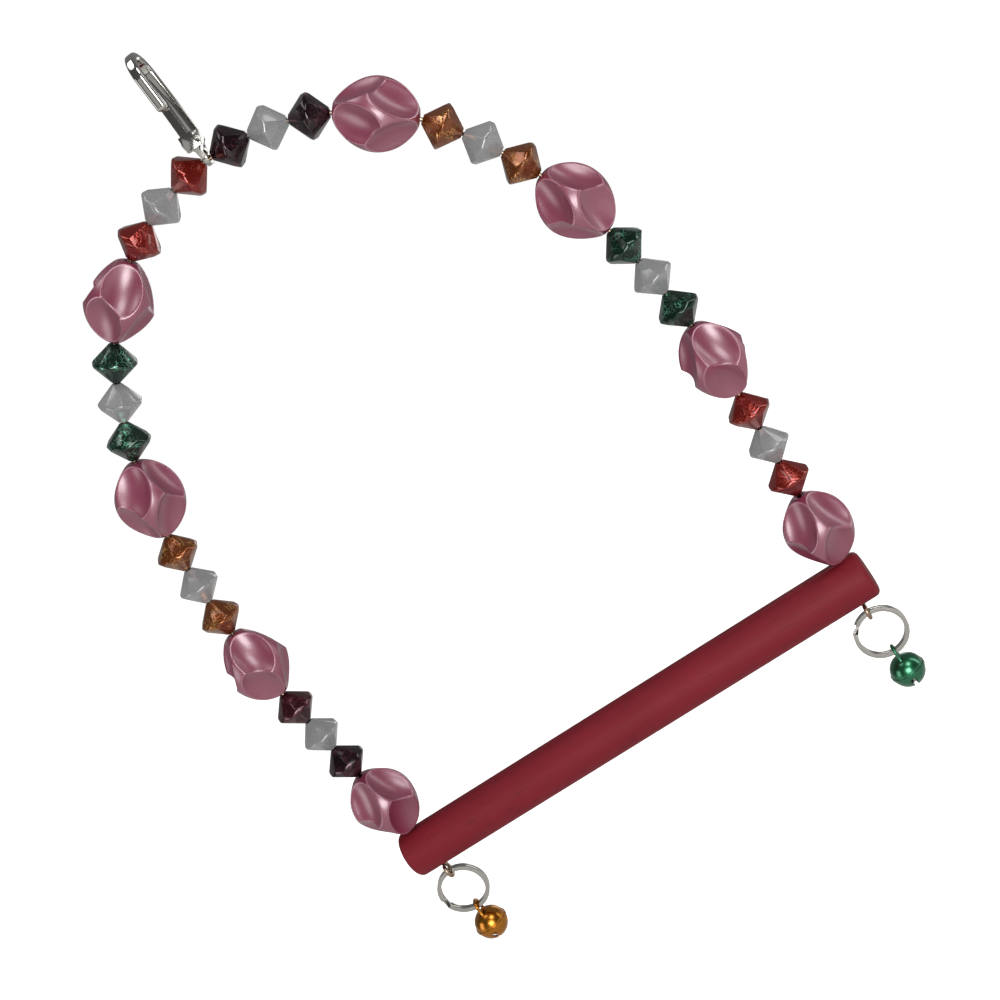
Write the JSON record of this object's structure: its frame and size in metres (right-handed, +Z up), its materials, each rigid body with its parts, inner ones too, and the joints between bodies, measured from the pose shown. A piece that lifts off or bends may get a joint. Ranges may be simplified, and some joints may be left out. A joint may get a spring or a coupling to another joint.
{
  "type": "bird swing",
  "caption": "Hanging bird swing: a snap hook on a beaded wire arch over a round wooden perch, with a split ring and a jingle bell under each end.",
  "frame": {"origin": "centre of the bend of the hook, where the bar or cage wire lies that the swing hangs on", "axes": "+Z up, +X along the perch, -Y the front, where the hook's gate is"},
  "size_m": [0.1562, 0.0174, 0.2373],
  "materials": {
    "nickel_plate": "nickel-plated and polished",
    "steel_wire": "drawn bright, slightly bronzed",
    "crimson_paint": "sanded dowel with thin satin crimson paint",
    "pearl_acrylic": "moulded acrylic with a pearly mauve-pink coat",
    "red_lacquer": "moulded acrylic, metallic red lacquer",
    "grey_acrylic": "moulded opaque pale grey acrylic",
    "green_lacquer": "moulded acrylic, metallic dark green lacquer",
    "copper_lacquer": "moulded acrylic, metallic copper lacquer",
    "maroon_lacquer": "moulded acrylic, metallic maroon lacquer",
    "plum_lacquer": "moulded acrylic, metallic dark plum lacquer",
    "gold_anodised": "pressed shell, gold colour, glossy",
    "green_anodised": "pressed shell, green colour, glossy",
    "steel_ball": "rolled bright"
  },
  "bodies": {
    "clip": {"clip_body": "nickel_plate", "clip_rivet": "nickel_plate"},
    "gate": {"clip_gate": "nickel_plate"},
    "swing": {"hoop_wire": "steel_wire", "perch": "crimson_paint"},
    "left_bead_01": {"left_bead_01": "red_lacquer"},
    "left_bead_02": {"left_bead_02": "grey_acrylic"},
    "left_bead_03": {"left_bead_03": "red_lacquer"},
    "left_bead_04": {"left_bead_04": "pearl_acrylic"},
    "left_bead_05": {"left_bead_05": "green_lacquer"},
    "left_bead_06": {"left_bead_06": "grey_acrylic"},
    "left_bead_07": {"left_bead_07": "green_lacquer"},
    "left_bead_08": {"left_bead_08": "pearl_acrylic"},
    "left_bead_09": {"left_bead_09": "copper_lacquer"},
    "left_bead_10": {"left_bead_10": "grey_acrylic"},
    "left_bead_11": {"left_bead_11": "copper_lacquer"},
    "left_bead_12": {"left_bead_12": "pearl_acrylic"},
    "left_bead_13": {"left_bead_13": "maroon_lacquer"},
    "left_bead_14": {"left_bead_14": "grey_acrylic"},
    "left_bead_15": {"left_bead_15": "plum_lacquer"},
    "left_bead_16": {"left_bead_16": "pearl_acrylic"},
    "right_bead_01": {"right_bead_01": "plum_lacquer"},
    "right_bead_02": {"right_bead_02": "grey_acrylic"},
    "right_bead_03": {"right_bead_03": "plum_lacquer"},
    "right_bead_04": {"right_bead_04": "pearl_acrylic"},
    "right_bead_05": {"right_bead_05": "copper_lacquer"},
    "right_bead_06": {"right_bead_06": "grey_acrylic"},
    "right_bead_07": {"right_bead_07": "copper_lacquer"},
    "right_bead_08": {"right_bead_08": "pearl_acrylic"},
    "right_bead_09": {"right_bead_09": "green_lacquer"},
    "right_bead_10": {"right_bead_10": "grey_acrylic"},
    "right_bead_11": {"right_bead_11": "green_lacquer"},
    "right_bead_12": {"right_bead_12": "pearl_acrylic"},
    "right_bead_13": {"right_bead_13": "red_lacquer"},
    "right_bead_14": {"right_bead_14": "grey_acrylic"},
    "right_bead_15": {"right_bead_15": "red_lacquer"},
    "right_bead_16": {"right_bead_16": "pearl_acrylic"},
    "left_ring": {"left_ring": "nickel_plate"},
    "left_bell": {"left_bell_shell": "gold_anodised", "left_bell_staple": "gold_anodised"},
    "left_bell_pellet": {"left_bell_pellet": "steel_ball"},
    "right_ring": {"right_ring": "nickel_plate"},
    "right_bell": {"right_bell_shell": "green_anodised", "right_bell_staple": "green_anodised"},
    "right_bell_pellet": {"right_bell_pellet": "steel_ball"}
  },
  "joints": [
    {"name": "gate_hinge", "type": "hinge", "parent": "clip", "child": "gate", "pos_m": [0, -0.0031, -0.0172], "axis": [-1, 0, 0], "range_deg": [0, 32], "stiffness_Nm_per_rad": 0.02, "springref_deg": -20.05},
    {"name": "swing_hinge", "type": "hinge", "parent": "clip", "child": "swing", "pos_m": [0, 0, -0.0228], "axis": [1, 0, 0], "range_deg": [-75, 75]},
    {"name": "left_bead_01_spin", "type": "hinge", "parent": "swing", "child": "left_bead_01", "pos_m": [-0.006, 0, -0.0232], "axis": [-0.995, 0, -0.1002], "continuous": true},
    {"name": "left_bead_02_spin", "type": "hinge", "parent": "swing", "child": "left_bead_02", "pos_m": [-0.01581, 0, -0.02502], "axis": [-0.9645, 0, -0.2639], "continuous": true},
    {"name": "left_bead_03_spin", "type": "hinge", "parent": "swing", "child": "left_bead_03", "pos_m": [-0.02518, 0, -0.02844], "axis": [-0.9074, 0, -0.4203], "continuous": true},
    {"name": "left_bead_04_spin", "type": "hinge", "parent": "swing", "child": "left_bead_04", "pos_m": [-0.038, 0, -0.03691], "axis": [-0.7702, 0, -0.6378], "continuous": true},
    {"name": "left_bead_05_spin", "type": "hinge", "parent": "swing", "child": "left_bead_05", "pos_m": [-0.04872, 0, -0.04793], "axis": [-0.5842, 0, -0.8116], "continuous": true},
    {"name": "left_bead_06_spin", "type": "hinge", "parent": "swing", "child": "left_bead_06", "pos_m": [-0.05406, 0, -0.05637], "axis": [-0.4914, 0, -0.8709], "continuous": true},
    {"name": "left_bead_07_spin", "type": "hinge", "parent": "swing", "child": "left_bead_07", "pos_m": [-0.05857, 0, -0.06528], "axis": [-0.4103, 0, -0.9119], "continuous": true},
    {"name": "left_bead_08_spin", "type": "hinge", "parent": "swing", "child": "left_bead_08", "pos_m": [-0.06374, 0, -0.07984], "axis": [-0.2784, 0, -0.9605], "continuous": true},
    {"name": "left_bead_09_spin", "type": "hinge", "parent": "swing", "child": "left_bead_09", "pos_m": [-0.06717, 0, -0.0949], "axis": [-0.1488, 0, -0.9889], "continuous": true},
    {"name": "left_bead_10_spin", "type": "hinge", "parent": "swing", "child": "left_bead_10", "pos_m": [-0.06842, 0, -0.10482], "axis": [-0.1033, 0, -0.9946], "continuous": true},
    {"name": "left_bead_11_spin", "type": "hinge", "parent": "swing", "child": "left_bead_11", "pos_m": [-0.06925, 0, -0.11478], "axis": [-0.0618, 0, -0.9981], "continuous": true},
    {"name": "left_bead_12_spin", "type": "hinge", "parent": "swing", "child": "left_bead_12", "pos_m": [-0.06963, 0, -0.13024], "axis": [0.0026, 0, -1], "continuous": true},
    {"name": "left_bead_13_spin", "type": "hinge", "parent": "swing", "child": "left_bead_13", "pos_m": [-0.06918, 0, -0.14571], "axis": [0.0633, 0, -0.998], "continuous": true},
    {"name": "left_bead_14_spin", "type": "hinge", "parent": "swing", "child": "left_bead_14", "pos_m": [-0.0685, 0, -0.15568], "axis": [0.0698, 0, -0.9976], "continuous": true},
    {"name": "left_bead_15_spin", "type": "hinge", "parent": "swing", "child": "left_bead_15", "pos_m": [-0.0678, 0, -0.16566], "axis": [0.0698, 0, -0.9976], "continuous": true},
    {"name": "left_bead_16_spin", "type": "hinge", "parent": "swing", "child": "left_bead_16", "pos_m": [-0.06672, 0, -0.1811], "axis": [0.0698, 0, -0.9976], "continuous": true},
    {"name": "right_bead_01_spin", "type": "hinge", "parent": "swing", "child": "right_bead_01", "pos_m": [0.006, 0, -0.0232], "axis": [0.995, 0, -0.1002], "continuous": true},
    {"name": "right_bead_02_spin", "type": "hinge", "parent": "swing", "child": "right_bead_02", "pos_m": [0.01581, 0, -0.02502], "axis": [0.9645, 0, -0.2639], "continuous": true},
    {"name": "right_bead_03_spin", "type": "hinge", "parent": "swing", "child": "right_bead_03", "pos_m": [0.02518, 0, -0.02844], "axis": [0.9074, 0, -0.4203], "continuous": true},
    {"name": "right_bead_04_spin", "type": "hinge", "parent": "swing", "child": "right_bead_04", "pos_m": [0.038, 0, -0.03691], "axis": [0.7702, 0, -0.6378], "continuous": true},
    {"name": "right_bead_05_spin", "type": "hinge", "parent": "swing", "child": "right_bead_05", "pos_m": [0.04872, 0, -0.04793], "axis": [0.5842, 0, -0.8116], "continuous": true},
    {"name": "right_bead_06_spin", "type": "hinge", "parent": "swing", "child": "right_bead_06", "pos_m": [0.05406, 0, -0.05637], "axis": [0.4914, 0, -0.8709], "continuous": true},
    {"name": "right_bead_07_spin", "type": "hinge", "parent": "swing", "child": "right_bead_07", "pos_m": [0.05857, 0, -0.06528], "axis": [0.4103, 0, -0.9119], "continuous": true},
    {"name": "right_bead_08_spin", "type": "hinge", "parent": "swing", "child": "right_bead_08", "pos_m": [0.06374, 0, -0.07984], "axis": [0.2784, 0, -0.9605], "continuous": true},
    {"name": "right_bead_09_spin", "type": "hinge", "parent": "swing", "child": "right_bead_09", "pos_m": [0.06717, 0, -0.0949], "axis": [0.1488, 0, -0.9889], "continuous": true},
    {"name": "right_bead_10_spin", "type": "hinge", "parent": "swing", "child": "right_bead_10", "pos_m": [0.06842, 0, -0.10482], "axis": [0.1033, 0, -0.9946], "continuous": true},
    {"name": "right_bead_11_spin", "type": "hinge", "parent": "swing", "child": "right_bead_11", "pos_m": [0.06925, 0, -0.11478], "axis": [0.0618, 0, -0.9981], "continuous": true},
    {"name": "right_bead_12_spin", "type": "hinge", "parent": "swing", "child": "right_bead_12", "pos_m": [0.06963, 0, -0.13024], "axis": [-0.0026, 0, -1], "continuous": true},
    {"name": "right_bead_13_spin", "type": "hinge", "parent": "swing", "child": "right_bead_13", "pos_m": [0.06918, 0, -0.14571], "axis": [-0.0633, 0, -0.998], "continuous": true},
    {"name": "right_bead_14_spin", "type": "hinge", "parent": "swing", "child": "right_bead_14", "pos_m": [0.0685, 0, -0.15568], "axis": [-0.0698, 0, -0.9976], "continuous": true},
    {"name": "right_bead_15_spin", "type": "hinge", "parent": "swing", "child": "right_bead_15", "pos_m": [0.0678, 0, -0.16566], "axis": [-0.0698, 0, -0.9976], "continuous": true},
    {"name": "right_bead_16_spin", "type": "hinge", "parent": "swing", "child": "right_bead_16", "pos_m": [0.06672, 0, -0.1811], "axis": [-0.0698, 0, -0.9976], "continuous": true},
    {"name": "left_ring_swing", "type": "hinge", "parent": "swing", "child": "left_ring", "pos_m": [-0.06491, 0, -0.20691], "axis": [1, 0, 0], "range_deg": [-60, 60]},
    {"name": "left_bell_swing", "type": "hinge", "parent": "left_ring", "child": "left_bell", "pos_m": [-0.06491, 0, -0.22065], "axis": [1, 0, 0], "range_deg": [-60, 60]},
    {"name": "left_bell_pellet_rattle", "type": "slide", "parent": "left_bell", "child": "left_bell_pellet", "axis": [0, 0, 1], "range_m": [0, 0.003]},
    {"name": "right_ring_swing", "type": "hinge", "parent": "swing", "child": "right_ring", "pos_m": [0.06491, 0, -0.20691], "axis": [1, 0, 0], "range_deg": [-60, 60]},
    {"name": "right_bell_swing", "type": "hinge", "parent": "right_ring", "child": "right_bell", "pos_m": [0.06491, 0, -0.22065], "axis": [1, 0, 0], "range_deg": [-60, 60]},
    {"name": "right_bell_pellet_rattle", "type": "slide", "parent": "right_bell", "child": "right_bell_pellet", "axis": [0, 0, 1], "range_m": [0, 0.003]}
  ]
}
